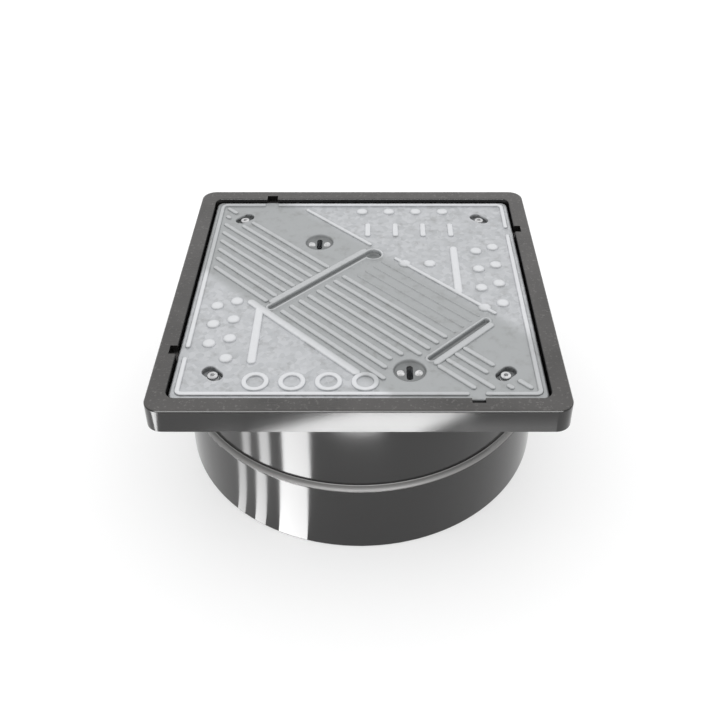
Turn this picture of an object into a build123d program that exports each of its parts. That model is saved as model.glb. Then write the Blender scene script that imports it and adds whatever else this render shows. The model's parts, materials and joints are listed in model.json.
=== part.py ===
from build123d import *
import os
from math import cos, radians, sin, sqrt

# A square pressed-steel inspection cover, screwed down into a black moulded frame whose
# round skirt slips over the top of a chamber shaft. The origin is on the shaft's axis at
# the skirt's lower edge, +Z is up and the frame's front side faces -Y. Sizes are in mm.

os.makedirs("parts", exist_ok=True)

# Overall sizes
shaft_bore = 450            # bore of the chamber shaft, and the side of the lid over it
frame_height = 240          # from the skirt's lower edge to the top of the rim
rim_width = 23              # flat border of the frame around the lid's recess

# Frame moulding
rim_wall = 4
rim_depth = 33              # height of the rim's outer face
rim_corner = 20             # plan radius of the rim's corners
rim_round = 2.5             # rounding of the rim's upper outer edge
recess_round = 1.5          # rounding of the recess's upper edge
seat_depth = 24             # from the top of the rim down to the lid's seat
seat_overhang = 10          # how far the seat reaches in over the shaft's bore
shaft_wall = 20             # assumed; sets the socket and the bell over the shaft
socket_clearance = 0.5      # between the shaft's outside and the socket, all round
socket_depth = 103
bell_wall = 4
ledge_width = 7             # step from the bell's outside in to the upper skirt
shoulder_round = 5.5        # rounding of the ledge's outer edge
ledge_fillet = 1.2          # fillet where the ledge meets the upper skirt
bell_round = 1              # rounding of the bell's lower outer edge
skirt_wall = 5
web_pitch = 50
web_thickness = 3
web_lift = 3                # how far the rim's webs stop above its lower edge
gusset_thickness = 4
gusset_drop = 45            # height of a corner gusset against the skirt
gusset_toe = 6              # height of a corner gusset at its outer end
gusset_spread = 12          # degrees between the gussets of one corner
pry_offset = 140            # from the middle of each side to its pry notch
pry_width = 16
pry_reach = 9               # how far a pry notch cuts into the rim
pry_depth = 12
pry_wall = 3

# Lid
lid_gap = 2                 # clearance between the lid and its recess, each side
lid_depth = 15.5            # from the foot of the turned-down edge to the lid's ground
lid_corner = 10
sheet = 3                   # steel thickness
bend_round = 3              # outside radius of the turned-down edge
tread_height = 2.5
bead_width = 7
bead_inset = 6              # from the lid's edge to the outside of its border bead

# Diagonal band of ribs; u runs from the back left to the front right, v across it
rib_pitch = 16
rib_width = 6
rib_count = 8               # ribs from the lid's diagonal down to the front left boundary
front_ribs = 4
fine_ribs = 4               # low ribs from the diagonal up to the back right ridge
fine_rib_width = 4
fine_rib_height = 1
boundary_width = 10
groove_width = 8
groove_depth = 4.5
groove_rim = 5
groove_start_gap = 11       # from the front left boundary to the longer groove's start
groove_key_offset = 5       # across the band, from the front key to the shorter groove
bulb_radius = 11            # round end of the longer groove

# Studs, rings, bars and strokes in the two plain corners
stud_radius = 9
stud_inset = 35             # from the lid's edge to the outer row of studs
stud_row_gap = 25
stud_stagger = 10
studs_in_row = 4
ring_radius = 17
ring_width = 7
ring_pitch = 44
rings_in_row = 4
bar_width = 12
bar_inset = 92              # from the lid's side edge to the bar
stroke_length = 36
stroke_width = 9
stroke_pitch = 41

# Lifting-key sockets
key_dish_radius = 20
key_dish_depth = 5
key_slot_length = 26
key_slot_width = 8
key_front_inset = 53        # from the lid's front edge to the front socket
key_back_inset = 112        # from the lid's back edge to the back socket
key_plate_thickness = 3
key_plate_radius = 19
key_cup_depth = 25
key_cup_wall = 2
key_cup_gap = 0.5           # between the cup and the pressed dish inside it
rivet_spacing = 23
rivet_shank_radius = 2.5
rivet_head_radius = 6
rivet_head_height = 3
rivet_tail_radius = 4.5
rivet_tail_height = 2

# Stiffeners under the lid
stiffener_width = 30
stiffener_wall = 2
stiffener_inset = 85        # from the lid's side edge to the outer stiffeners' middle
stiffener_end_gap = 25      # from the lid's edge to the end of each stiffener
stiffener_foot_gap = 0.5    # how far a stiffener stays above the lid's foot
relief_gap = 1              # clearance round a pressed groove where it crosses a stiffener

# Fixings
screw_inset = 47            # from the lid's edges to each corner screw
screw_radius = 4
screw_length = 25
thread_clearance = 0.05     # radial, between the screw and its insert or washer
head_radius = 7
head_height = 4.5
socket_hex = 5              # across the flats of the screw's driving socket
socket_hex_depth = 2.8
washer_radius = 8
washer_thickness = 1.5
hole_clearance = 0.5        # radial, round the screw in the lid and the spacer
spacer_radius = 7
pocket_length = 30
pocket_width = 18
pocket_depth = 8.5
pocket_land = 5             # flat ground left round each screw pocket
insert_radius = 6
insert_length = 16
boss_wall = 4

# Gasket
gasket_thickness = 3
gasket_width = 9
gasket_gap = 0.5            # between the gasket and the recess wall

# Sizes that follow from those above
lid_side = shaft_bore
recess_side = lid_side + 2 * lid_gap
recess_corner = lid_corner + lid_gap
frame_side = recess_side + 2 * rim_width
rim_bottom = frame_height - rim_depth
flange_bottom = frame_height - rim_wall
seat_top = frame_height - seat_depth
seat_bottom = seat_top - rim_wall
opening_radius = shaft_bore / 2 - seat_overhang
socket_radius = shaft_bore / 2 + shaft_wall + socket_clearance
bell_radius = socket_radius + bell_wall
skirt_radius = bell_radius - ledge_width
ledge_height = socket_depth + bell_wall
lid_foot = seat_top + gasket_thickness
lid_top = lid_foot + lid_depth
lid_underside = lid_top - sheet
screw_offset = lid_side / 2 - screw_inset
pocket_floor = lid_top - pocket_depth
spacer_length = pocket_floor - sheet - seat_top
stiffener_x = lid_side / 2 - stiffener_inset
key_x = 0.44 * stiffener_x  # between the middle stiffener and an outer one
key_places = {"back": (-key_x, lid_side / 2 - key_back_inset),
              "front": (key_x, key_front_inset - lid_side / 2)}
key_floor = lid_top - key_dish_depth
key_cup_radius = key_dish_radius + sheet + key_cup_gap + key_cup_wall

# The diagonal band, in its own u and v
bead_reach = (lid_side / 2 - bead_inset - bead_width) * sqrt(2)
band_front_left = -(rib_count - 1) * rib_pitch - rib_pitch
band_back_right = 0.184 * lid_side
back_groove_u = -0.111 * lid_side
back_groove_start = band_front_left + groove_start_gap
back_groove_end = 0.15 * lid_side
front_key_u = (key_places["front"][0] - key_places["front"][1]) / sqrt(2)
front_key_v = (key_places["front"][0] + key_places["front"][1]) / sqrt(2)
front_groove_u = front_key_u + groove_key_offset
front_groove_start = (front_key_v + key_cup_radius + sheet + groove_width / 2
                      + relief_gap)
front_groove_end = 0.136 * lid_side

# Rows up the lid's left and right sides: side, first stud's y, pitch, then the bar's ends
side_rows = ((-1, -0.357 * lid_side, 0.087 * lid_side, -0.36 * lid_side, -0.1 * lid_side),
             (1, -0.082 * lid_side, 0.1 * lid_side, -0.04 * lid_side, 0.22 * lid_side))
back_right_pair = ((0.138 * lid_side, 0.124 * lid_side), (0.216 * lid_side, 0.124 * lid_side))

corner_names = ("front_left", "front_right", "back_right", "back_left")
corner_places = {name: (screw_offset * sx, screw_offset * sy)
                 for name, sx, sy in zip(corner_names, (-1, 1, 1, -1), (-1, -1, 1, 1))}


def finish(piece, name):
    """Labels a finished piece and writes it to its own file."""
    piece.label = name
    export_step(piece, f"parts/{name}.step")


def radial_plane(angle):
    """An upright plane through the shaft's axis: its x points outward, its y up."""
    a = radians(angle)
    return Plane(origin=(0, 0, 0), x_dir=(cos(a), sin(a), 0), z_dir=(sin(a), -cos(a), 0))


def band_plane(height):
    """A level plane whose x and y are the diagonal band's u and v."""
    return Plane(origin=(0, 0, height), x_dir=(1, -1, 0), z_dir=(0, 0, 1))


def pocket_outline(grow):
    """The four oval screw pockets, each across its corner's diagonal."""
    with BuildSketch() as outline:
        with PolarLocations(screw_offset * sqrt(2), 4, start_angle=45):
            SlotOverall(pocket_length + 2 * grow, pocket_width + 2 * grow, rotation=90)
    return outline.sketch


def key_outline(grow):
    """The two round key dishes."""
    with BuildSketch() as outline:
        with Locations(*key_places.values()):
            Circle(key_dish_radius + grow)
    return outline.sketch


def groove_outline(grow):
    """The two long grooves across the band, the longer one ending in a round bulb."""
    with BuildSketch() as outline:
        for u, start, end in ((back_groove_u, back_groove_start, back_groove_end),
                              (front_groove_u, front_groove_start, front_groove_end)):
            with Locations((u, (start + end) / 2)):
                SlotCenterToCenter(end - start, groove_width + 2 * grow, rotation=90)
        with Locations((back_groove_u + bulb_radius - groove_width / 2, back_groove_end)):
            Circle(bulb_radius + grow)
    return outline.sketch


def rib_ends(v):
    """For the rib at v, the u span of its piece in each part of the band."""
    border = bead_reach - abs(v) - rib_width
    spans = [(-border, back_groove_u - groove_width - groove_rim),
             (back_groove_u + groove_width + groove_rim,
              front_groove_u - groove_width - groove_rim)]
    if v > -front_ribs * rib_pitch + rib_pitch / 2:
        spans.append((front_groove_u + groove_width + groove_rim, border))
    return spans


# Frame: the bell over the shaft, the narrower skirt above its ledge and the square
# rim with the lid's recess are one moulding, ribbed underneath.
with BuildPart() as frame_moulding:
    with BuildSketch(Plane.XZ) as skirt:
        with BuildLine():
            Polyline(
                (socket_radius, 0), (bell_radius, 0),
                (bell_radius, ledge_height), (skirt_radius, ledge_height),
                (skirt_radius, flange_bottom), (skirt_radius - skirt_wall, flange_bottom),
                (skirt_radius - skirt_wall, socket_depth), (socket_radius, socket_depth),
                close=True,
            )
        make_face()
        for corner, rounding in (((bell_radius, ledge_height), shoulder_round),
                                 ((skirt_radius, ledge_height), ledge_fillet),
                                 ((bell_radius, 0), bell_round)):
            fillet(skirt.vertices().sort_by_distance(corner)[0], rounding)
    revolve(axis=Axis.Z)
    with BuildSketch(Plane.XY.offset(seat_bottom)):
        RectangleRounded(recess_side + 2 * rim_wall, recess_side + 2 * rim_wall,
                         recess_corner + rim_wall)
    extrude(amount=seat_depth + rim_wall)

    # rim: top flange and outer wall, open underneath
    with BuildPart(mode=Mode.PRIVATE) as rim:
        with BuildSketch(Plane.XY.offset(rim_bottom)):
            RectangleRounded(frame_side, frame_side, rim_corner)
        extrude(amount=rim_depth)
        fillet(rim.edges().group_by(Axis.Z)[-1], rim_round)
        with BuildSketch(Plane.XY.offset(rim_bottom)):
            RectangleRounded(frame_side - 2 * rim_wall, frame_side - 2 * rim_wall,
                             rim_corner - rim_wall)
        extrude(amount=rim_depth - rim_wall, mode=Mode.SUBTRACT)
    add(rim)

    # webs across the rim's channel
    channel = rim_width - 2 * rim_wall
    with BuildSketch(Plane.XY.offset(rim_bottom + web_lift)):
        with PolarLocations((recess_side + rim_width) / 2, 4):
            with GridLocations(0, web_pitch, 1, 2 * int(recess_side / web_pitch / 2) + 1):
                Rectangle(channel + rim_wall, web_thickness)
    extrude(amount=rim_depth - rim_wall - web_lift)

    # gussets from the skirt out under the seat's four corners
    for angle in (45, 135, 225, 315):
        for turn in (-gusset_spread, 0, gusset_spread):
            reach = (recess_side / 2) / cos(radians(45 - abs(turn))) - recess_corner / 2
            inner = skirt_radius - skirt_wall / 2
            with BuildSketch(radial_plane(angle + turn)):
                Polygon(
                    (inner, seat_bottom - gusset_drop), (inner, seat_bottom + 1),
                    (reach, seat_bottom + 1), (reach, seat_bottom - gusset_toe),
                    align=None,
                )
            extrude(amount=gusset_thickness / 2, both=True)

    # bosses for the screw inserts, and blocks around the pry notches
    with BuildSketch(Plane.XY.offset(seat_top - insert_length - boss_wall)):
        with Locations(*corner_places.values()):
            Circle(insert_radius + boss_wall)
    extrude(amount=insert_length + boss_wall)
    with BuildSketch(Plane.XY.offset(frame_height - pry_depth - pry_wall)):
        with PolarLocations(recess_side / 2, 4):
            with Locations(((pry_reach + pry_wall) / 2, pry_offset)):
                Rectangle(pry_reach + pry_wall, pry_width + 2 * pry_wall)
    extrude(amount=pry_depth)

    # recess, clear opening, pry notches and insert holes
    with BuildSketch(Plane.XY.offset(seat_top)):
        RectangleRounded(recess_side, recess_side, recess_corner)
    extrude(amount=seat_depth, mode=Mode.SUBTRACT)
    inside = recess_side / 2 + recess_round
    upper_edges = frame_moulding.edges().group_by(Axis.Z)[-1]
    fillet(upper_edges.filter_by_position(Axis.X, -inside, inside)
           .filter_by_position(Axis.Y, -inside, inside), recess_round)
    with BuildSketch(Plane.XY.offset(seat_bottom)):
        Circle(opening_radius)
    extrude(amount=rim_wall, mode=Mode.SUBTRACT)
    with BuildSketch(Plane.XY.offset(frame_height - pry_depth)):
        with PolarLocations(recess_side / 2, 4):
            with Locations((0, pry_offset)):
                Rectangle(2 * pry_reach, pry_width)
    extrude(amount=pry_depth, mode=Mode.SUBTRACT)
    with BuildSketch(Plane.XY.offset(seat_top - insert_length)):
        with Locations(*corner_places.values()):
            Circle(insert_radius)
    extrude(amount=insert_length, mode=Mode.SUBTRACT)
finish(frame_moulding.part, "frame_moulding")

# Gasket: a square neoprene strip on the seat, under the lid's turned-down edge.
with BuildPart() as lid_gasket:
    gasket_side = recess_side - 2 * gasket_gap
    with BuildSketch(Plane.XY.offset(seat_top)):
        RectangleRounded(gasket_side, gasket_side, recess_corner - gasket_gap)
        RectangleRounded(gasket_side - 2 * gasket_width, gasket_side - 2 * gasket_width,
                         recess_corner - gasket_width, mode=Mode.SUBTRACT)
    extrude(amount=gasket_thickness)
finish(lid_gasket.part, "lid_gasket")

# Lid: a pressed steel plate with turned-down edges, a raised tread and a border bead.
with BuildPart() as lid_plate:
    with BuildSketch(Plane.XY.offset(lid_foot)):
        RectangleRounded(lid_side, lid_side, lid_corner)
    extrude(amount=lid_depth)
    fillet(lid_plate.edges().group_by(Axis.Z)[-1], bend_round)
    with BuildSketch(Plane.XY.offset(lid_foot)):
        RectangleRounded(lid_side - 2 * sheet, lid_side - 2 * sheet, lid_corner - sheet)
    extrude(amount=lid_depth - sheet, mode=Mode.SUBTRACT)

    # border bead, broken beside each pry notch
    bead_side = lid_side - 2 * bead_inset
    with BuildSketch(Plane.XY.offset(lid_top)):
        RectangleRounded(bead_side, bead_side, lid_corner)
        RectangleRounded(bead_side - 2 * bead_width, bead_side - 2 * bead_width,
                         lid_corner - bead_width, mode=Mode.SUBTRACT)
        with PolarLocations(bead_side / 2, 4):
            with Locations((0, pry_offset)):
                Rectangle(3 * bead_width, pry_width, mode=Mode.SUBTRACT)
    extrude(amount=tread_height)

    # ribs along the band, its two boundary ridges and the rims of its grooves
    with BuildSketch(band_plane(lid_top)):
        for step in range(rib_count):
            v = -step * rib_pitch
            for start, end in rib_ends(v):
                with Locations(((start + end) / 2, v)):
                    SlotOverall(end - start, rib_width)
        boundary_end = front_groove_u - 2 * key_dish_radius
        boundary_start = back_groove_u - 2 * rib_pitch
        with Locations(((boundary_start + boundary_end) / 2, band_front_left)):
            SlotOverall(boundary_end - boundary_start, boundary_width)
        ridge_start = band_back_right - bead_reach + boundary_width
        for start, end in ((ridge_start, back_groove_u - bulb_radius),
                           (back_groove_u + 3 * bulb_radius, front_groove_u)):
            with Locations(((start + end) / 2, band_back_right)):
                SlotOverall(end - start, rib_width)
        add(groove_outline(groove_rim))
    extrude(amount=tread_height)
    with BuildSketch(band_plane(lid_top)):
        start = back_groove_u + 2 * bulb_radius + groove_rim
        end = front_groove_u - groove_width - groove_rim
        for step in range(fine_ribs):
            with Locations(((start + end) / 2, (step + 1) * rib_pitch)):
                SlotOverall(end - start, fine_rib_width)
    extrude(amount=fine_rib_height)

    # studs, rings, bars and strokes in the front left and back right corners
    with BuildSketch(Plane.XY.offset(lid_top)):
        for side, first, pitch, bar_start, bar_end in side_rows:
            for row in range(2):
                x = side * (lid_side / 2 - stud_inset - row * stud_row_gap)
                for i in range(studs_in_row):
                    with Locations((x, first - side * row * stud_stagger + i * pitch)):
                        Circle(stud_radius)
            with Locations((side * (lid_side / 2 - bar_inset), (bar_start + bar_end) / 2)):
                SlotOverall(bar_end - bar_start, bar_width, rotation=90)
        for i in range(rings_in_row):
            x = bar_inset + ring_radius / 2 + i * ring_pitch - lid_side / 2
            with Locations((x, ring_radius + ring_width * 2 - lid_side / 2)):
                Circle(ring_radius)
                Circle(ring_radius - ring_width, mode=Mode.SUBTRACT)
        for i in range(studs_in_row):
            with Locations((i * stroke_pitch, lid_side / 2 - 0.8 * stud_inset)):
                Circle(stud_radius)
            with Locations((stroke_width + i * stroke_pitch, 0.32 * lid_side)):
                SlotOverall(stroke_length, stroke_width, rotation=90)
        with Locations(*back_right_pair):
            Circle(stud_radius)
    extrude(amount=tread_height)

    # flat land left round the screw pockets and key dishes
    with BuildSketch(Plane.XY.offset(lid_top)):
        add(pocket_outline(pocket_land))
        add(key_outline(pocket_land))
    extrude(amount=tread_height, mode=Mode.SUBTRACT)

    # pockets, key dishes and grooves are pressed down from the plate
    for plane_at, outline, depth in (
        (Plane.XY.offset, pocket_outline, pocket_depth),
        (Plane.XY.offset, key_outline, key_dish_depth),
        (band_plane, groove_outline, groove_depth),
    ):
        with BuildSketch(plane_at(lid_top - depth - sheet)):
            add(outline(sheet))
        extrude(amount=depth + sheet / 2)
        with BuildSketch(plane_at(lid_top - depth)):
            add(outline(0))
        extrude(amount=depth + tread_height, mode=Mode.SUBTRACT)

    # screw holes, key slots and rivet holes
    with BuildSketch(Plane.XY.offset(pocket_floor - sheet)):
        with Locations(*corner_places.values()):
            Circle(screw_radius + hole_clearance)
    extrude(amount=sheet, mode=Mode.SUBTRACT)
    with BuildSketch(Plane.XY.offset(key_floor - sheet)):
        with Locations(*key_places.values()):
            SlotOverall(key_slot_length, key_slot_width, rotation=90)
            with GridLocations(rivet_spacing, 0, 2, 1):
                Circle(rivet_shank_radius)
    extrude(amount=sheet, mode=Mode.SUBTRACT)
finish(lid_plate.part, "lid_plate")

# Stiffeners: three open steel channels welded under the lid, cut away where a pressed
# groove crosses them.
for name, x in (("left", -stiffener_x), ("centre", 0), ("right", stiffener_x)):
    with BuildPart() as stiffener:
        length = lid_side - 2 * stiffener_end_gap
        height = lid_underside - lid_foot - stiffener_foot_gap
        with BuildSketch(Plane.XY.offset(lid_underside)):
            with Locations((x, 0)):
                Rectangle(stiffener_width, length)
        extrude(amount=-height)
        with BuildSketch(Plane.XY.offset(lid_underside)):
            with Locations((x, 0)):
                Rectangle(stiffener_width - 2 * stiffener_wall, length)
        extrude(amount=stiffener_wall - height, mode=Mode.SUBTRACT)
        with BuildSketch(band_plane(lid_underside)):
            add(groove_outline(sheet + relief_gap))
        extrude(amount=-groove_depth - relief_gap, mode=Mode.SUBTRACT)
    finish(stiffener.part, f"stiffener_{name}")

# Lifting-key sockets: a plate riveted under each dish gives the key its hold, and a
# pressed cup welded round it keeps water out of the chamber.
for name, place in key_places.items():
    plate_bottom = key_floor - sheet - key_plate_thickness
    with BuildPart() as key_plate:
        with BuildSketch(Plane.XY.offset(plate_bottom)):
            with Locations(place):
                Circle(key_plate_radius)
                SlotOverall(key_slot_length, key_slot_width, rotation=90,
                            mode=Mode.SUBTRACT)
                with GridLocations(rivet_spacing, 0, 2, 1):
                    Circle(rivet_shank_radius, mode=Mode.SUBTRACT)
        extrude(amount=key_plate_thickness)
    finish(key_plate.part, f"key_plate_{name}")

    with BuildPart() as key_cup:
        with BuildSketch(Plane.XY.offset(lid_underside - key_cup_depth)):
            with Locations(place):
                Circle(key_cup_radius)
        extrude(amount=key_cup_depth)
        with BuildSketch(Plane.XY.offset(lid_underside - key_cup_depth + key_cup_wall)):
            with Locations(place):
                Circle(key_cup_radius - key_cup_wall)
        extrude(amount=key_cup_depth - key_cup_wall, mode=Mode.SUBTRACT)
    finish(key_cup.part, f"key_cup_{name}")

    with BuildPart() as key_rivets:
        for side in (-1, 1):
            middle = place[0] + side * rivet_spacing / 2
            with BuildSketch(Plane(origin=(middle, place[1], 0), x_dir=(1, 0, 0),
                                   z_dir=(0, -1, 0))):
                with BuildLine():
                    crown = key_floor + rivet_head_height
                    rim_point = (rivet_head_radius, key_floor)
                    ThreePointArc((0, crown),
                                  (rivet_head_radius * 0.7,
                                   key_floor + rivet_head_height * 0.6), rim_point)
                    Polyline(
                        rim_point, (rivet_shank_radius, key_floor),
                        (rivet_shank_radius, plate_bottom),
                        (rivet_tail_radius, plate_bottom),
                        (rivet_tail_radius, plate_bottom - rivet_tail_height),
                        (0, plate_bottom - rivet_tail_height), (0, crown),
                    )
                make_face()
            revolve(axis=Axis((middle, place[1], 0), (0, 0, 1)))
    finish(key_rivets.part, f"key_rivets_{name}")

# Corner fixings: a brass insert in the frame, a nylon spacer under the lid's pocket,
# and a screw with its captive washer.
for name, place in corner_places.items():
    with BuildPart() as insert:
        with BuildSketch(Plane.XY.offset(seat_top - insert_length)):
            with Locations(place):
                Circle(insert_radius)
                Circle(screw_radius + thread_clearance, mode=Mode.SUBTRACT)
        extrude(amount=insert_length)
    finish(insert.part, f"insert_{name}")

    with BuildPart() as spacer:
        with BuildSketch(Plane.XY.offset(seat_top)):
            with Locations(place):
                Circle(spacer_radius)
                Circle(screw_radius + hole_clearance, mode=Mode.SUBTRACT)
        extrude(amount=spacer_length)
    finish(spacer.part, f"spacer_{name}")

    with BuildPart() as washer:
        with BuildSketch(Plane.XY.offset(pocket_floor)):
            with Locations(place):
                Circle(washer_radius)
                Circle(screw_radius + thread_clearance, mode=Mode.SUBTRACT)
        extrude(amount=washer_thickness)
        fillet(washer.edges().group_by(Axis.Z)[-1].sort_by(SortBy.LENGTH)[-1],
               washer_thickness / 3)
    finish(washer.part, f"washer_{name}")

    head_seat = pocket_floor + washer_thickness
    with BuildPart() as screw:
        with BuildSketch(Plane.XY.offset(head_seat)):
            with Locations(place):
                Circle(head_radius)
        extrude(amount=head_height)
        fillet(screw.edges().group_by(Axis.Z)[-1], head_height / 3)
        with BuildSketch(Plane.XY.offset(head_seat)):
            with Locations(place):
                Circle(screw_radius)
        extrude(amount=-screw_length)
        chamfer(screw.edges().group_by(Axis.Z)[0], screw_radius / 4)
        with BuildSketch(Plane.XY.offset(head_seat + head_height)):
            with Locations(place):
                RegularPolygon(socket_hex / 2, 6, major_radius=False)
        extrude(amount=-socket_hex_depth, mode=Mode.SUBTRACT)
    finish(screw.part, f"screw_{name}")
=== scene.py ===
"""Looks of a square inspection cover: a pressed galvanised lid in a black moulded frame."""

import json
from math import atan2, cos, pi, radians, sin, sqrt

import bmesh
import bpy
import numpy as np
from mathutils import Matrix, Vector
from mathutils.geometry import delaunay_2d_cdt


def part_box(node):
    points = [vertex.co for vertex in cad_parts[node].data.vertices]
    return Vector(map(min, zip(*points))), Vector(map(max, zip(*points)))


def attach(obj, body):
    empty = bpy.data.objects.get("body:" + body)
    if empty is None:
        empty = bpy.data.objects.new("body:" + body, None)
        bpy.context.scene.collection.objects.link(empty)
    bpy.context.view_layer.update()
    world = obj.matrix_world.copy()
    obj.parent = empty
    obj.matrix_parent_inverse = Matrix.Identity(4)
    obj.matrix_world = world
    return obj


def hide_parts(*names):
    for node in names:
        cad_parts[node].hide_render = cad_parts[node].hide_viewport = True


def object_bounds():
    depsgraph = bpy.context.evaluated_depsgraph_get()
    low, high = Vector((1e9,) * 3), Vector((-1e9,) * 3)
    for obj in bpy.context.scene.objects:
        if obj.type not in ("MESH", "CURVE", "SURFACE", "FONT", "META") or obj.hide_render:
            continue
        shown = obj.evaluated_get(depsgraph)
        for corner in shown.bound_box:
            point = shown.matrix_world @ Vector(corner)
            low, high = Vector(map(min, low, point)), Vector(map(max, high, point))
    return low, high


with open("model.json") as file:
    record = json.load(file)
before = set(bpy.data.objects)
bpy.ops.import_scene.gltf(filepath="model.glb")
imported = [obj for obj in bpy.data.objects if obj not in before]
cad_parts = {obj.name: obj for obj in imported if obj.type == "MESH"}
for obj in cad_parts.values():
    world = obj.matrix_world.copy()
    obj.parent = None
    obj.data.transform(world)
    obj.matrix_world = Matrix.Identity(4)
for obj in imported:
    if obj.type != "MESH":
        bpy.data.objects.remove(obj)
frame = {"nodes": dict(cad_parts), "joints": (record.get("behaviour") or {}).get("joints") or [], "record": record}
cad_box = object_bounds()
rim_top = cad_box[1].z
scene = bpy.context.scene


# Studio. The camera stands above the frame's front side, and everything is on a white floor
# under a white dome of light, a little dimmer in front.
camera_rise = radians(35.84)
camera = bpy.data.objects.new("camera", bpy.data.cameras.new("camera"))
camera.data.lens = 46.19
camera.data.sensor_width = 36
camera.data.shift_x = -0.0172
camera.data.shift_y = -0.1033
camera.location = (0.0166, -1.0242, rim_top + 0.7358)
camera.rotation_euler = (pi / 2 - camera_rise, 0, 0)
scene.collection.objects.link(camera)
scene.camera = camera
scene.view_settings.view_transform = "Standard"


class Wire:
    """A node tree, or one output socket in it. Sums on a socket add Math nodes."""

    def __init__(self, tree, socket=None):
        self.tree = tree
        self.socket = socket

    def add(self, kind, settings, sockets, out=0):
        """Adds a node, sets it up, feeds its sockets, and gives one of its outputs."""
        node = self.tree.nodes.new(kind)
        for name, value in settings.items():
            setattr(node, name, value)
        for name, value in sockets.items():
            if isinstance(value, Wire):
                self.tree.links.new(value.socket, node.inputs[name])
            else:
                node.inputs[name].default_value = value
        return Wire(self.tree, node.outputs[out] if node.outputs else None)

    def output(self, name):
        """Another output of the node that this socket belongs to."""
        return Wire(self.tree, self.socket.node.outputs[name])

    def math(self, operation, first, second=0.0):
        return self.add("ShaderNodeMath", {"operation": operation}, {0: first, 1: second})

    def __add__(self, other):
        return self.math("ADD", self, other)

    def __radd__(self, other):
        return self.math("ADD", other, self)

    def __sub__(self, other):
        return self.math("SUBTRACT", self, other)

    def __rsub__(self, other):
        return self.math("SUBTRACT", other, self)

    def __mul__(self, other):
        return self.math("MULTIPLY", self, other)

    def __rmul__(self, other):
        return self.math("MULTIPLY", other, self)

    def __truediv__(self, other):
        return self.math("DIVIDE", self, other)

    def __pow__(self, other):
        return self.math("POWER", self, other)

    def rise(self, low, high):
        """0 below low, 1 above high, and a smooth step between them."""
        return self.add("ShaderNodeMapRange", {"interpolation_type": "SMOOTHSTEP"},
                        {"Value": self, "From Min": low, "From Max": high})


def emitting(name, strength):
    """A material that only gives off white light."""
    glow = bpy.data.materials.new(name)
    glow.use_nodes = True
    glow.node_tree.nodes.clear()
    wire = Wire(glow.node_tree)
    back = wire.add("ShaderNodeNewGeometry", {}, {}, "Backfacing")
    shine = wire.add("ShaderNodeEmission", {}, {"Strength": (1 - back) * strength})
    wire.add("ShaderNodeOutputMaterial", {}, {"Surface": shine})
    return glow


def link_mesh(name, points, faces, *materials):
    """A new object in the scene with the mesh of these points and faces."""
    mesh = bpy.data.meshes.new(name)
    mesh.from_pydata(points, [], faces)
    for material in materials:
        mesh.materials.append(material)
    made = bpy.data.objects.new(name, mesh)
    scene.collection.objects.link(made)
    return made


# dome: white, dimmer high up in front, behind the camera
dome_level = 1.12
front_level = 0.62
dome = bpy.data.worlds.new("dome")
dome.use_nodes = True
dome.node_tree.nodes.clear()
scene.world = dome
sky = Wire(dome.node_tree)
heading = sky.add("ShaderNodeTexCoord", {}, {}, "Generated")
split = sky.add("ShaderNodeSeparateXYZ", {}, {"Vector": heading})
front = (0 - split.output("Y")).rise(0.05, 0.75) * split.output("Z").rise(0.1, 0.4)
light = sky.add("ShaderNodeBackground", {},
                {"Strength": dome_level - front * (dome_level - front_level)})
sky.add("ShaderNodeOutputWorld", {}, {"Surface": light})

# floor: matt white board
board = bpy.data.materials.new("white_board")
board.use_nodes = True
matt = board.node_tree.nodes["Principled BSDF"].inputs
matt["Base Color"].default_value = (0.9, 0.9, 0.9, 1)
matt["Roughness"].default_value = 1.0
matt["Specular IOR Level"].default_value = 0.0
reach = 12
floor = link_mesh("floor", [(-reach, -reach, -0.0005), (reach, -reach, -0.0005),
                            (reach, reach, -0.0005), (-reach, reach, -0.0005)],
                  [(0, 1, 2, 3)], board)

# a shadowless lamp that only brightens the floor
lamp = bpy.data.lights.new("floor_lamp", "SUN")
lamp.energy = 1.4
lamp.use_shadow = False
floor_lamp = bpy.data.objects.new("floor_lamp", lamp)
scene.collection.objects.link(floor_lamp)
floor_only = bpy.data.collections.new("floor_only")
floor_only.objects.link(floor)
floor_lamp.light_linking.receiver_collection = floor_only

# Light panels lying on the floor, which only show as reflections. The three narrow ones start at
# the skirt's foot and fan out from it, and make its white bands; the other three light the rim.
socket = next(m for m in frame["record"]["mounts"] if m["name"] == "shaft_socket")
foot = socket["dims"]["r_mm"] / 1000 + 0.004
panel_run = 0.24
glossy_only = {"visible_camera": False, "visible_diffuse": False, "visible_shadow": False}


def floor_panel(name, outline, strength):
    panel = link_mesh(name, [(x, y, 0.001) for x, y in outline],
                      [tuple(range(len(outline)))], emitting(name, strength))
    for key, value in glossy_only.items():
        setattr(panel, key, value)


for name, middle, width, strength in (("panel_wide", 20.8, 9.4, 14),
                                      ("panel_narrow", 32.3, 4.0, 8),
                                      ("panel_edge", 40.0, 3.2, 5)):
    outline = []
    for turn, run in ((-1, 0), (-1, panel_run), (0, panel_run), (1, panel_run), (1, 0)):
        a = radians(middle + turn * width / 2)
        outline.append((-foot * sin(a) - run * sin(2 * a), -foot * cos(a) - run * cos(2 * a)))
    floor_panel(name, outline[::-1], strength)
rim_panels = (
    ("panel_front", ((0.0, -0.508), (0.175, -0.508), (0.073, -0.445), (-0.175, -0.445)), 18),
    ("panel_right", ((0.155, -0.474), (0.315, -0.474), (0.315, -0.445), (0.130, -0.445)), 3),
    ("panel_corner", ((-0.54, -0.60), (-0.34, -0.56), (-0.40, -0.36), (-0.60, -0.36)), 12),
)
for name, outline, strength in rim_panels:
    floor_panel(name, outline, strength)

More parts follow.
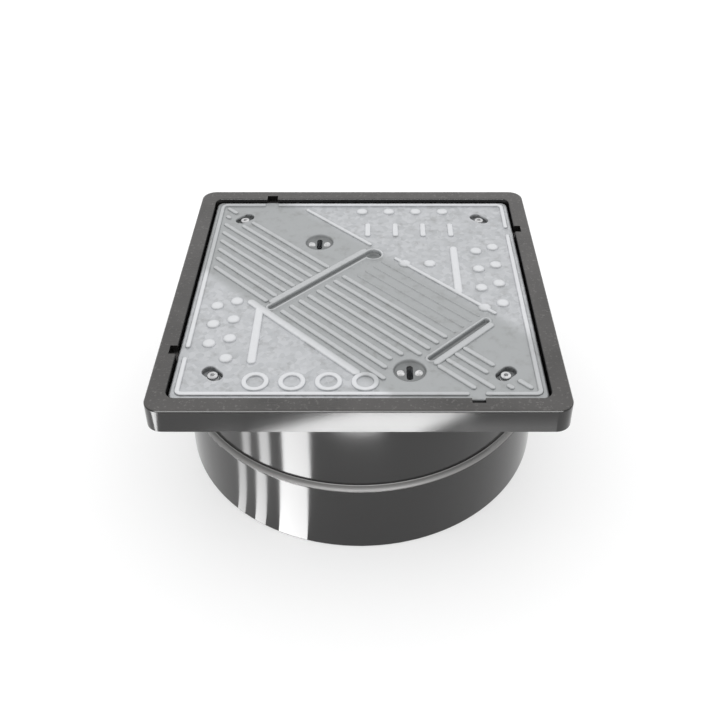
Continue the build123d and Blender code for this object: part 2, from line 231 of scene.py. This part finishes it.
# a tall soft panel in front, linked to the frame moulding, whose rounded edges it brings out
soft = bpy.data.lights.new("soft_front", "AREA")
soft.shape = "RECTANGLE"
soft.size = 4.0
soft.size_y = 2.6
soft.energy = 250
soft_front = bpy.data.objects.new("soft_front", soft)
soft_front.location = (0, -2.6, 1.3)
soft_front.rotation_euler = (radians(68), 0, 0)
scene.collection.objects.link(soft_front)
for key, value in glossy_only.items():
    setattr(soft_front, key, value)
glossy_frame = bpy.data.collections.new("glossy_frame")
glossy_frame.objects.link(frame["nodes"]["frame_moulding"])
soft_front.light_linking.receiver_collection = glossy_frame


# Frame. One black polypropylene moulding, glossy from its mould, with a faint flow pattern, dust
# settled on its upward faces, fine scuffs on the rim where boots and bars touch it, and a painted
# highlight on the ledge round its skirt.
def new_finish(name):
    """An empty material, and the Wire that its nodes are built with."""
    finish = bpy.data.materials.new(name)
    finish.use_nodes = True
    finish.node_tree.nodes.clear()
    return finish, Wire(finish.node_tree)


def cloud(wire, place, scale, detail=3.0, roughness=0.5):
    """A soft noise from about 0 to 1."""
    return wire.add("ShaderNodeTexNoise", {}, {"Vector": place, "Scale": scale,
                                               "Detail": detail, "Roughness": roughness})


def stretched(wire, place, scales):
    """The same place with its axes scaled apart, for marks that run one way."""
    return wire.add("ShaderNodeVectorMath", {"operation": "MULTIPLY"}, {0: place, 1: scales})


def blend(wire, share, first, second):
    """A colour part way from the first to the second."""
    return wire.add("ShaderNodeMix", {"data_type": "RGBA"},
                    {0: share, 6: first, 7: second}, 2)


def surface(wire, height, depth, sockets):
    """Ends a material in a Principled shader whose normal follows a height, in metres."""
    normal = wire.add("ShaderNodeBump", {}, {"Height": height, "Distance": depth})
    shader = wire.add("ShaderNodeBsdfPrincipled", {}, {**sockets, "Normal": normal})
    wire.add("ShaderNodeOutputMaterial", {}, {"Surface": shader})


def moulded_black(name, dust):
    finish, wire = new_finish(name)
    place = wire.add("ShaderNodeTexCoord", {}, {}, "Object")
    up = wire.add("ShaderNodeSeparateXYZ", {},
                  {"Vector": wire.add("ShaderNodeNewGeometry", {}, {}, "Normal")}, "Z")
    flow = cloud(wire, stretched(wire, place, (1, 1, 0.25)), 14)
    grain = cloud(wire, place, 900, 2)
    speck = cloud(wire, place, 260, 4).rise(0.56, 0.72)
    settled = up.rise(0.6, 0.95) * (0.35 + 0.65 * flow) * dust
    scuff = cloud(wire, stretched(wire, place, (26, 400, 60)), 1, 4).rise(0.62, 0.74)
    worn = scuff * up.rise(0.2, 0.8) * dust
    level = wire.add("ShaderNodeSeparateXYZ", {}, {"Vector": place}, "Z")
    # painted highlight: the skirt's upward-facing ledge is coloured light grey where it would catch the light
    painted_ledge_highlight = up.rise(0.08, 0.5) * level.rise(0.0985, 0.1015) * (1 - level.rise(0.1085, 0.1105))
    colour = blend(wire, flow, (0.0125, 0.0120, 0.0118, 1), (0.0175, 0.0168, 0.0165, 1))
    colour = blend(wire, settled * (0.5 + 0.45 * speck), colour, (0.26, 0.25, 0.243, 1))
    colour = blend(wire, worn * 0.5, colour, (0.09, 0.09, 0.088, 1))
    colour = blend(wire, painted_ledge_highlight * 0.85, colour, (0.34, 0.335, 0.33, 1))
    roughness = (0.10 + 0.04 * flow + 0.02 * grain + 0.22 * settled + 0.15 * worn
                 + 0.35 * painted_ledge_highlight)
    surface(wire, 0.5 * grain + 6 * flow + 0.5 * worn, 0.00003,
            {"Base Color": colour, "Roughness": roughness, "IOR": 1.49})
    return finish


frame_moulding = frame["nodes"]["frame_moulding"]
frame_moulding.data.materials[0] = moulded_black("moulded_black", 1.0)


# Gasket. A closed-cell neoprene strip stuck on the frame's seat, dull, with open pores on its
# cut sides.
def neoprene():
    finish, wire = new_finish("neoprene")
    place = wire.add("ShaderNodeTexCoord", {}, {}, "Object")
    pores = wire.add("ShaderNodeTexVoronoi", {}, {"Vector": place, "Scale": 1400})
    patch = cloud(wire, place, 40)
    colour = blend(wire, patch, (0.012, 0.012, 0.012, 1), (0.032, 0.031, 0.030, 1))
    surface(wire, pores.rise(0.05, 0.5), 0.0002,
            {"Base Color": colour, "Roughness": 0.82 + 0.12 * patch})
    return finish


frame["nodes"]["lid_gasket"].data.materials[0] = neoprene()


# Inserts. Turned brass bushes, pressed into the frame's bosses under the corner screws.
def turned_metal(name, dark, pale, roughness, pitch):
    """A lathe-turned metal with fine rings round the vertical and faint tarnish."""
    finish, wire = new_finish(name)
    place = wire.add("ShaderNodeTexCoord", {}, {}, "Object")
    rings = cloud(wire, stretched(wire, place, (60, 60, 1 / pitch)), 1, 2)
    tarnish = cloud(wire, place, 240, 4)
    colour = blend(wire, tarnish.rise(0.3, 0.75), dark, pale)
    surface(wire, rings, 0.00006,
            {"Base Color": colour, "Metallic": 1.0,
             "Roughness": roughness - 0.08 + 0.16 * tarnish})
    return finish


brass = turned_metal("turned_brass", (0.55, 0.36, 0.13, 1), (0.80, 0.58, 0.27, 1), 0.34, 0.0003)
corners = [n[len("insert_"):] for n in sorted(frame["nodes"]) if n.startswith("insert_")]
for corner in corners:
    frame["nodes"][f"insert_{corner}"].data.materials[0] = brass


# Lid plate. One sheet of 3 mm galvanised steel: its edges are turned down all round, and the
# screw pockets, key dishes and two long grooves are pressed into it, so both faces follow.
lid_low, lid_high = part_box("lid_plate")
lid_half = lid_high.x
tread = 0.0025
sheet = 0.003
ground = lid_high.z - tread
root = sqrt(2)
screw_places = [Vector(j["pos_m"]).xy for j in frame["joints"] if j["type"] == "hinge"]
key_places = [Vector(m["pos_m"]).xy for m in frame["record"]["mounts"]
              if m["name"].startswith("key_slot")]
bulb = 0.011


def band(u, v):
    """A point of the diagonal band: u runs from the back left to the front right."""
    return Vector(((u + v) / root, (v - u) / root))


def galvanised(name, tops, band_shade):
    """Zinc with its spangle; the tread's tops are brighter, as worn zinc and as a painted highlight, and the
    pressed hollows get painted shade.
    """
    finish, wire = new_finish(name)
    place = wire.add("ShaderNodeTexCoord", {}, {}, "Object")
    axes = wire.add("ShaderNodeSeparateXYZ", {}, {"Vector": place})
    spangle = wire.add("ShaderNodeTexVoronoi", {}, {"Vector": place, "Scale": 150,
                                                    "Randomness": 1.0}, "Color")
    tone = wire.add("ShaderNodeSeparateXYZ", {}, {"Vector": spangle}, "X")
    patch = cloud(wire, place, 11, 4, 0.6)
    grime = cloud(wire, place, 60, 5, 0.65)
    grit = cloud(wire, place, 700, 3)
    height = axes.output("Z")
    # the tread's tops are painted brighter: partly worn zinc, partly a painted highlight
    worn_and_highlit_top = height.rise(ground + 0.4 * tread, ground + 0.9 * tread) * tops
    # painted shade: everything pressed below the ground is darkened
    low = 1 - height.rise(ground - 0.004, ground - 0.0004)
    across = (axes.output("X") + axes.output("Y")) / root
    inside = across.rise(-0.136, -0.120) * (1 - across.rise(0.066, 0.092)) * band_shade
    dull = blend(wire, tone * 0.6 + 0.4 * patch, (0.55, 0.565, 0.58, 1), (0.77, 0.78, 0.80, 1))
    dull = blend(wire, inside * 0.8, dull, (0.49, 0.505, 0.508, 1))
    dull = blend(wire, grime.rise(0.5, 0.75) * 0.35, dull, (0.30, 0.30, 0.285, 1))
    # painted shade in the hollows, towards a dark grey
    dull = blend(wire, low * 0.55 * tops, dull, (0.16, 0.165, 0.165, 1))
    # worn zinc and painted highlight on the tread's tops, weaker inside the band
    wear_and_highlight = worn_and_highlit_top * (0.65 + 0.35 * grime) * (1 - 0.62 * inside)
    colour = blend(wire, wear_and_highlight, dull, (0.90, 0.91, 0.93, 1))
    roughness = 0.42 + 0.10 * tone + 0.14 * grime - 0.12 * worn_and_highlit_top
    surface(wire, 0.6 * grit + 2 * patch + 0.5 * tone, 0.00008,
            {"Base Color": colour, "Metallic": 1.0 - 0.25 * grime.rise(0.5, 0.75),
             "Roughness": roughness})
    return finish


lid_zinc = galvanised("galvanised_lid", 1.0, 1.0)
plain_zinc = galvanised("galvanised_plain", 0.0, 0.0)


def around(a, b, distance, arc):
    """The outline that keeps this distance from the segment from a to b."""
    heading = atan2(b.y - a.y, b.x - a.x)
    points = []
    for end, start in ((b, heading - pi / 2), (a, heading + pi / 2)):
        for i in range(arc + 1):
            turn = start + pi * i / arc
            points.append((end.x + distance * cos(turn), end.y + distance * sin(turn)))
    return points


def beyond(points, shapes):
    """How far each point lies outside the nearest of these (a, b, radius) shapes."""
    nearest = np.full(len(points), np.inf)
    for a, b, radius in shapes:
        along = np.array(b - a)
        offset = points - np.array(a)
        length = max(along @ along, 1e-12)
        t = np.clip(offset @ along / length, 0, 1)
        gap = np.linalg.norm(offset - t[:, None] * along, axis=1) - radius
        nearest = np.minimum(nearest, gap)
    return nearest


pocket_depth = 0.0085
dish_depth = 0.005
groove_half = 0.004
back_u, front_u = -0.04995, 0.1702
back_ends = (-0.117, 0.0675)
front_ends = (-0.0446, 0.0612)
screw_pockets = []
for place in screw_places:
    side = Vector((-place.y, place.x)).normalized() * 0.006
    screw_pockets.append((place - side, place + side, 0.009))
key_dishes = [(place, place, 0.020) for place in key_places]
grooves = [(band(back_u, back_ends[0]), band(back_u, back_ends[1]), groove_half),
           (band(back_u + bulb - groove_half, back_ends[1]),
            band(back_u + bulb - groove_half, back_ends[1]), bulb),
           (band(front_u, front_ends[0]), band(front_u, front_ends[1]), groove_half)]

# pressed shapes: how far outside the shape's outline, and how high above the ground, in mm
pocket_section = ((-0.9, -8.5), (-0.5, -8.3), (-0.2, -7.6), (0, -6), (0, -1.6), (0.3, -0.8),
                  (0.9, -0.25), (1.8, 0), (2.6, 0))
dish_section = ((-2.5, -5), (-1.7, -4.6), (-0.9, -3.6), (-0.2, -2.2), (0.3, -1.1), (1.1, -0.4),
                (2, -0.1), (3, 0), (4, 0))
groove_section = ((-2.4, -4.5), (-1.4, -3.9), (-0.7, -2.7), (-0.2, -0.8), (0.2, 0.7), (0.8, 1.7),
                  (1.7, 2.3), (2.6, 2.2), (3.5, 1.4), (4.2, 0.5), (5, 0), (6, 0))
pressings = ((screw_pockets, pocket_section, 16), (key_dishes, dish_section, 28),
             (grooves, groove_section, 14))
holes = [(place, place, 0.0045) for place in screw_places]
holes += [(place - Vector((0, 0.009)), place + Vector((0, 0.009)), 0.004)
          for place in key_places]
hole_arc = 14


def rounded_square(half, corner, arc=10):
    """The outline of a square with round corners."""
    points = []
    for quarter in range(4):
        for i in range(arc + 1):
            turn = pi / 2 * (quarter + i / arc)
            sx = (1, -1, -1, 1)[quarter]
            sy = (1, 1, -1, -1)[quarter]
            points.append((sx * (half - corner) + corner * cos(turn),
                           sy * (half - corner) + corner * sin(turn)))
    return points


def pressed_face(edge, spread, drop, raised):
    """One face of the sheet inside its edge: points and triangles, with its holes left out."""
    loops = [edge]
    for shapes, section, arc in pressings:
        for out, height in section:
            for a, b, radius in shapes:
                distance = radius + out / 1000 + spread
                if distance > 0.0003 and (raised or height < 0 or out > 1):
                    loops.append(around(a, b, distance, arc))
    loops += [around(a, b, radius, hole_arc) for a, b, radius in holes]
    flat, rims = [], []
    for loop in loops:
        start = len(flat)
        flat += [Vector(p) for p in loop]
        rims += [(start + i, start + (i + 1) % len(loop)) for i in range(len(loop))]
    points, _, faces, *_ = delaunay_2d_cdt(flat, rims, [], 1, 1e-6)
    points = np.array([(p.x, p.y) for p in points])
    heights = np.full(len(points), ground - drop)
    for shapes, section, _ in pressings:
        outs = [out / 1000 for out, _ in section]
        rises = [(h if raised else min(h, 0)) / 1000 for _, h in section]
        heights += np.interp(beyond(points, shapes) - spread, outs, rises)
    middles = points[np.array(faces)].mean(axis=1)
    kept = [f for f, gap in zip(faces, beyond(middles, holes)) if gap > -1e-5]
    return [(x, y, z) for (x, y), z in zip(points, heights)], kept


bend = 0.003
lid_corner = 0.010
turned = [(bend * (1 - sin(radians(a))), ground - bend * (1 - cos(radians(a))))
          for a in (0, 15, 30, 45, 60, 75, 90)]
turned += [(0, lid_low.z + 0.0006), (0.0002, lid_low.z + 0.0002), (0.0006, lid_low.z),
           (sheet - 0.0006, lid_low.z), (sheet, lid_low.z + 0.0006), (sheet, ground - sheet)]
lid_mesh = bmesh.new()


def add_faces(points, faces):
    made = [lid_mesh.verts.new(p) for p in points]
    for face in faces:
        lid_mesh.faces.new([made[i] for i in face])


edge = rounded_square(lid_half - bend, lid_corner - bend)
add_faces(*pressed_face(edge, 0, 0, True))
add_faces(*pressed_face(edge, sheet, sheet, False))


def add_wall(loops):
    """Quads between loops of equally many points, each loop closed."""
    count = len(loops[0])
    points = [p for loop in loops for p in loop]
    faces = [(k * count + i, k * count + (i + 1) % count,
              (k + 1) * count + (i + 1) % count, (k + 1) * count + i)
             for k in range(len(loops) - 1) for i in range(count)]
    add_faces(points, faces)


add_wall([[(x, y, z) for x, y in rounded_square(lid_half - inset, lid_corner - inset)]
          for inset, z in turned])
for (a, b, radius), floor_depth in zip(holes, [pocket_depth] * len(screw_places)
                                       + [dish_depth] * len(key_places)):
    loop = around(a, b, radius, hole_arc)
    add_wall([[(x, y, ground - floor_depth - down) for x, y in loop] for down in (0, sheet)])
bmesh.ops.remove_doubles(lid_mesh, verts=lid_mesh.verts, dist=2e-6)
bmesh.ops.dissolve_degenerate(lid_mesh, dist=1e-7, edges=lid_mesh.edges)
bmesh.ops.recalc_face_normals(lid_mesh, faces=lid_mesh.faces)
lid_plate = link_mesh("pressed_lid", [], [], lid_zinc)
lid_mesh.to_mesh(lid_plate.data)
lid_mesh.free()


def smooth(made, angle=35):
    """Smooth shading that keeps edges sharper than this angle."""
    made.data.shade_smooth()
    made.data.set_sharp_from_angle(angle=radians(angle))


smooth(lid_plate)
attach(lid_plate, "lid")
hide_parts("lid_plate")


# Tread. Domed ribs, studs, rings, bars and the border bead, rolled up out of the plate's upper
# face so that soles grip in the wet. Each is a line that a domed section follows. Their places are
# set to those of the CAD's tread.
def nodes_for(name, inputs):
    """A geometry tree with these named inputs, its Wire, and each input as a Wire."""
    tree = bpy.data.node_groups.new(name, "GeometryNodeTree")
    tree.interface.new_socket("Geometry", in_out="INPUT", socket_type="NodeSocketGeometry")
    tree.interface.new_socket("Geometry", in_out="OUTPUT", socket_type="NodeSocketGeometry")
    for label, kind in inputs:
        tree.interface.new_socket(label, in_out="INPUT", socket_type="NodeSocket" + kind)
    wire = Wire(tree)
    first = wire.add("NodeGroupInput", {}, {}, "Geometry")
    return tree, wire, {label: first.output(label) for label in
                        ["Geometry"] + [label for label, _ in inputs]}


def end_tree(wire, geometry, material):
    """Realizes what was made, gives it its material and sends it out."""
    real = wire.add("GeometryNodeRealizeInstances", {}, {"Geometry": geometry})
    shaded = wire.add("GeometryNodeSetMaterial", {}, {"Geometry": real, "Material": material})
    wire.add("NodeGroupOutput", {}, {"Geometry": shaded})


def grown(made, tree, values):
    """Runs a geometry tree on an object and keeps the result as its plain mesh."""
    modifier = made.modifiers.new(tree.name, "NODES")
    modifier.node_group = tree
    for item in tree.interface.items_tree:
        if item.name in values:
            modifier[item.identifier] = values[item.name]
    depsgraph = bpy.context.evaluated_depsgraph_get()
    mesh = bpy.data.meshes.new_from_object(made.evaluated_get(depsgraph))
    made.modifiers.clear()
    made.data = mesh
    return made


def ridge_tree():
    tree, wire, given = nodes_for("domed_ridges", (
        ("Height", "Float"), ("Sink", "Float"), ("Ground", "Float"), ("Sides", "Int"),
        ("Material", "Material")))
    width = wire.add("GeometryNodeInputNamedAttribute", {"data_type": "FLOAT"},
                     {"Name": "half_width"}, "Attribute")
    taper = wire.add("GeometryNodeInputNamedAttribute", {"data_type": "FLOAT"},
                     {"Name": "taper"}, "Attribute")
    lines = wire.add("GeometryNodeMeshToCurve", {}, {"Mesh": given["Geometry"]})
    lines = wire.add("GeometryNodeSetCurveNormal", {"mode": "Z_UP"}, {"Curve": lines})
    half_round = wire.add("GeometryNodeCurveArc", {"mode": "RADIUS"}, {
        "Resolution": given["Sides"], "Radius": 1.0, "Start Angle": 0.0, "Sweep Angle": pi})
    half_round = wire.add("GeometryNodeSetSplineCyclic", {}, {"Geometry": half_round,
                                                              "Cyclic": True})
    body = wire.add("GeometryNodeCurveToMesh", {}, {
        "Curve": lines, "Profile Curve": half_round, "Scale": width * taper})
    place = wire.add("GeometryNodeInputPosition", {}, {})
    axes = wire.add("ShaderNodeSeparateXYZ", {}, {"Vector": place})
    base = given["Ground"] - given["Sink"]
    share = wire.math("MINIMUM", wire.math("ABSOLUTE", axes.output("Z") - base) / width, 1.0)
    lifted = base + (given["Height"] + given["Sink"]) * share ** 0.62
    moved = wire.add("ShaderNodeCombineXYZ", {}, {"X": axes.output("X"), "Y": axes.output("Y"),
                                                  "Z": lifted})
    body = wire.add("GeometryNodeSetPosition", {}, {"Geometry": body, "Position": moved})
    body = wire.add("GeometryNodeMergeByDistance", {}, {"Geometry": body, "Distance": 2e-6})
    body = wire.add("GeometryNodeSetShadeSmooth", {}, {"Geometry": body, "Shade Smooth": True})
    end_tree(wire, body, given["Material"])
    return tree


ridge_lines = []   # each is (points, half width, closed)
lands = [(a, b, radius + 0.005) for a, b, radius in screw_pockets + key_dishes]


def clear_runs(a, b, half_width, shapes):
    """The parts of the line from a to b that keep clear of these shapes."""
    count = max(2, int((b - a).length / 0.001))
    points = [a.lerp(b, i / count) for i in range(count + 1)]
    free = beyond(np.array([tuple(p) for p in points]), shapes) > half_width * 0.8
    runs, start = [], None
    for i, is_free in enumerate(list(free) + [False]):
        if is_free and start is None:
            start = i
        if not is_free and start is not None:
            if (points[i - 1] - points[start]).length >= 2 * half_width:
                runs.append((points[start], points[i - 1]))
            start = None
    return runs


def add_line(lines, a, b, half_width):
    for start, end in clear_runs(a, b, half_width, lands):
        lines.append(([start, end], half_width, False))


def add_stud(x, y, radius=0.009):
    place = Vector((x, y))
    if beyond(np.array([(x, y)]), lands)[0] > radius * 0.5:
        ridge_lines.append(([place - Vector((radius, 0)), place + Vector((radius, 0))],
                            radius, False))


# ribs across the band, low ones beyond the diagonal, and the broad ridge beside each groove
rib_half = 0.0036
rib_pitch = 0.016
groove_clear = 0.0135
ridge_v = 0.0828
boundary_v = -0.128
border = (lid_half - 0.013) * root
for step in range(8):
    v = -step * rib_pitch
    limit = border - abs(v) - 2 * rib_half
    spans = [(-limit, back_u - groove_clear),
             (back_u + groove_clear, front_u - groove_clear)]
    if step < 4:
        spans.append((front_u + groove_clear, limit))
    for start, end in spans:
        add_line(ridge_lines, band(start, v), band(end, v), rib_half)
fine_lines = []
for step in range(1, 5):
    v = step * rib_pitch
    add_line(fine_lines, band(back_u + 0.027, v), band(front_u - 0.013, v), 0.002)
for start, end, half_width in (
    (band(back_u - 0.034, boundary_v), band(front_u - 0.042, boundary_v), 0.006),
    (band(-0.204, ridge_v), band(back_u - 0.012, ridge_v), 0.003),
    (band(back_u + 0.034, ridge_v), band(front_u, ridge_v), 0.003),
    (band(back_u - 0.0095, -0.112), band(back_u - 0.0095, 0.070), 0.0050),
    (band(front_u + 0.0095, -0.0500), band(front_u + 0.0095, 0.0640), 0.0045),
):
    add_line(ridge_lines, start, end, half_width)

# studs, bars, rings and strokes in the two plain corners
for side, first, pitch, bar_start, bar_end in ((-1, -0.1607, 0.0392, -0.162, -0.045),
                                               (1, -0.0369, 0.045, -0.018, 0.099)):
    for row in range(2):
        for i in range(4):
            add_stud(side * (lid_half - 0.035 - row * 0.025),
                     first - side * row * 0.010 + i * pitch)
    x = side * (lid_half - 0.092)
    add_line(ridge_lines, Vector((x, bar_start)), Vector((x, bar_end)), 0.006)
for i in range(4):
    middle = Vector((0.1005 + i * 0.044 - lid_half, 0.031 - lid_half))
    circle = [middle + 0.0135 * Vector((cos(2 * pi * k / 28), sin(2 * pi * k / 28)))
              for k in range(28)]
    ridge_lines.append((circle, 0.0035, True))
    add_stud(i * 0.041, lid_half - 0.028)
    x = 0.009 + i * 0.041
    add_line(ridge_lines, Vector((x, 0.126)), Vector((x, 0.162)), 0.0045)
for x in (0.062, 0.097):
    add_stud(x, 0.056)

# border bead, broken beside each pry notch
bead_half = 0.0035
bead_side = lid_half - 0.006 - bead_half
bead_corner = lid_corner - bead_half
notch = 0.140
for quarter in range(4):
    line = [Vector((bead_side, notch + 0.009))]
    for i in range(9):
        a = pi / 2 * i / 8
        line.append(Vector((bead_side - bead_corner * (1 - cos(a)),
                            bead_side - bead_corner * (1 - sin(a)))))
    line.append(Vector((0.009 - notch, bead_side)))
    for _ in range(quarter):
        line = [Vector((-p.y, p.x)) for p in line]
    ridge_lines.append((line, bead_half, False))

domed_ridges = ridge_tree()


def grow_lines(name, ridges, height, sink, base, material):
    """An object of domed ridges along these lines; a height below 0 hangs them underneath."""
    points, edges, widths, tapers = [], [], [], []
    for line, half_width, closed in ridges:
        path = [(p, 1.0) for p in line]
        if not closed:
            first = (line[1] - line[0]).normalized()
            last = (line[-1] - line[-2]).normalized()
            caps = [(half_width * (1 - cos(a)), sin(a))
                    for a in (pi / 2 * k / 6 for k in range(7))]
            path = [(line[0] + first * s, t) for s, t in caps] + path[1:-1]
            tail = [(line[-1] - last * s, t) for s, t in caps][::-1]
            if (tail[0][0] - path[-1][0]).length < 1e-6:
                tail = tail[1:]
            path += tail
        start = len(points)
        points += [(p.x, p.y, base - sink) for p, _ in path]
        widths += [half_width] * len(path)
        tapers += [max(t, 0.0) for _, t in path]
        edges += [(start + i, start + i + 1) for i in range(len(path) - 1)]
        if closed:
            edges.append((len(points) - 1, start))
    lines = bpy.data.meshes.new(name)
    lines.from_pydata(points, edges, [])
    for label, values in (("half_width", widths), ("taper", tapers)):
        attribute = lines.attributes.new(label, "FLOAT", "POINT")
        attribute.data.foreach_set("value", values)
    made = bpy.data.objects.new(name, lines)
    scene.collection.objects.link(made)
    grown(made, domed_ridges, {"Height": height, "Sink": sink, "Ground": base, "Sides": 11,
                               "Material": material})
    for label in ("half_width", "taper"):
        stale = made.data.attributes.get(label)
        if stale:
            made.data.attributes.remove(stale)
    if height > 0:
        made.data.flip_normals()   # the swept section's faces point inward when it stands up
    smooth(made, 60)
    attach(made, "lid")


grow_lines("lid_tread", ridge_lines, tread - 0.00005, 0.0004, ground, lid_zinc)
grow_lines("lid_fine_ribs", fine_lines, 0.001, 0.0004, ground, lid_zinc)

# Stiffeners, key plates and key cups. Folded and pressed from galvanised sheet, and welded or
# riveted under the lid.
for node in ("stiffener_left", "stiffener_centre", "stiffener_right", "key_plate_back",
             "key_plate_front", "key_cup_back", "key_cup_front"):
    frame["nodes"][node].data.materials[0] = plain_zinc

# short fillet welds along both sides of each stiffener, clear of the pressings
weld_lines = []
pressed_through = [(a, b, radius + 0.008) for a, b, radius in grooves]
pressed_through += [(place, place, 0.027) for place in key_places]
for node in ("stiffener_left", "stiffener_centre", "stiffener_right"):
    low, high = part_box(node)
    for x in (low.x, high.x):
        for k in range(5):
            y = low.y + 0.015 + k * 0.085
            for start, end in clear_runs(Vector((x, y)), Vector((x, y + 0.030)), 0.002,
                                         pressed_through):
                weld_lines.append(([start, end], 0.002, False))
grow_lines("stiffener_welds", weld_lines, -0.002, -0.0003, ground - sheet, plain_zinc)

# Rivets and washers. Bright stainless steel; the rivets' domed heads show in the key dishes.
stainless = turned_metal("bright_stainless", (0.60, 0.60, 0.61, 1), (0.88, 0.88, 0.88, 1),
                         0.22, 0.0004)
for node in [f"key_rivets_{end}" for end in ("back", "front")] + [f"washer_{c}" for c in corners]:
    frame["nodes"][node].data.materials[0] = stainless


# Spacers. Natural nylon sleeves between the lid's pockets and the frame's seat.
def nylon():
    finish, wire = new_finish("natural_nylon")
    place = wire.add("ShaderNodeTexCoord", {}, {}, "Object")
    patch = cloud(wire, place, 180, 4)
    lines = cloud(wire, stretched(wire, place, (200, 200, 2500)), 1, 2)
    colour = blend(wire, patch, (0.62, 0.60, 0.52, 1), (0.80, 0.78, 0.71, 1))
    surface(wire, lines, 0.00005, {"Base Color": colour, "Roughness": 0.4 + 0.2 * patch})
    return finish


natural_nylon = nylon()
for corner in corners:
    frame["nodes"][f"spacer_{corner}"].data.materials[0] = natural_nylon

# Corner screws. M8 stainless cap screws: knurled head with a hexagon socket, turned, and a
# rolled right-hand thread that runs out below the head.
screw_arc = 48
screw_turns = [2 * pi * k / screw_arc for k in range(screw_arc)]
thread_pitch = 0.00125
thread_depth = 0.00065
rows_per_turn = 8
shank = 0.004
head_height = 0.0045
head_radius = 0.0070
hex_apothem = 0.0025
hex_depth = 0.0028


def ring(place, z, radius_at):
    return [(place.x + radius_at(a) * cos(a), place.y + radius_at(a) * sin(a), z)
            for a in screw_turns]


def thread_at(z, low, seat):
    """The shank's radius round one level of the thread, for any angle."""
    run_out = min(1, max(0, (seat - 0.004 - z) / 0.0015))

    def radius_at(a):
        phase = (z / thread_pitch - a / (2 * pi)) % 1
        depth = min(1, max(0, 1.2 * abs(2 * phase - 1) - 0.1))
        return min(shank - thread_depth * depth * run_out, 0.75 * shank + z - low)
    return radius_at


def hexagon(apothem):
    return lambda a: apothem / cos(a % (pi / 3) - pi / 6)


def knurl(a):
    return head_radius if round(a / (2 * pi) * screw_arc) % 2 else head_radius - 0.0002


for corner in corners:
    low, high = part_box(f"screw_{corner}")
    middle = (low + high) / 2
    seat = high.z - head_height
    rows = round((seat - low.z) / thread_pitch * rows_per_turn)
    rings = [ring(middle, z, thread_at(z, low.z, seat))
             for z in (low.z + (seat - low.z) * k / rows for k in range(rows + 1))]
    for z, radius_at in ((seat, lambda a: 0.0066), (seat + 0.0004, knurl),
                         (high.z - 0.0015, knurl), (high.z - 0.0007, lambda a: 0.0066),
                         (high.z - 0.0002, lambda a: 0.0060), (high.z, lambda a: 0.0055),
                         (high.z, hexagon(hex_apothem + 0.0003)),
                         (high.z - 0.0003, hexagon(hex_apothem)),
                         (high.z - hex_depth, hexagon(hex_apothem))):
        rings.append(ring(middle, z, radius_at))
    count = screw_arc
    faces = [(k * count + i, k * count + (i + 1) % count,
              (k + 1) * count + (i + 1) % count, (k + 1) * count + i)
             for k in range(len(rings) - 1) for i in range(count)]
    faces.append(tuple(range(count))[::-1])
    faces.append(tuple(range((len(rings) - 1) * count, len(rings) * count)))
    screw = link_mesh(f"cap_screw_{corner}", [p for loop in rings for p in loop], faces,
                      stainless)
    smooth(screw)
    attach(screw, f"screw_{corner}")
    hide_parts(f"screw_{corner}")
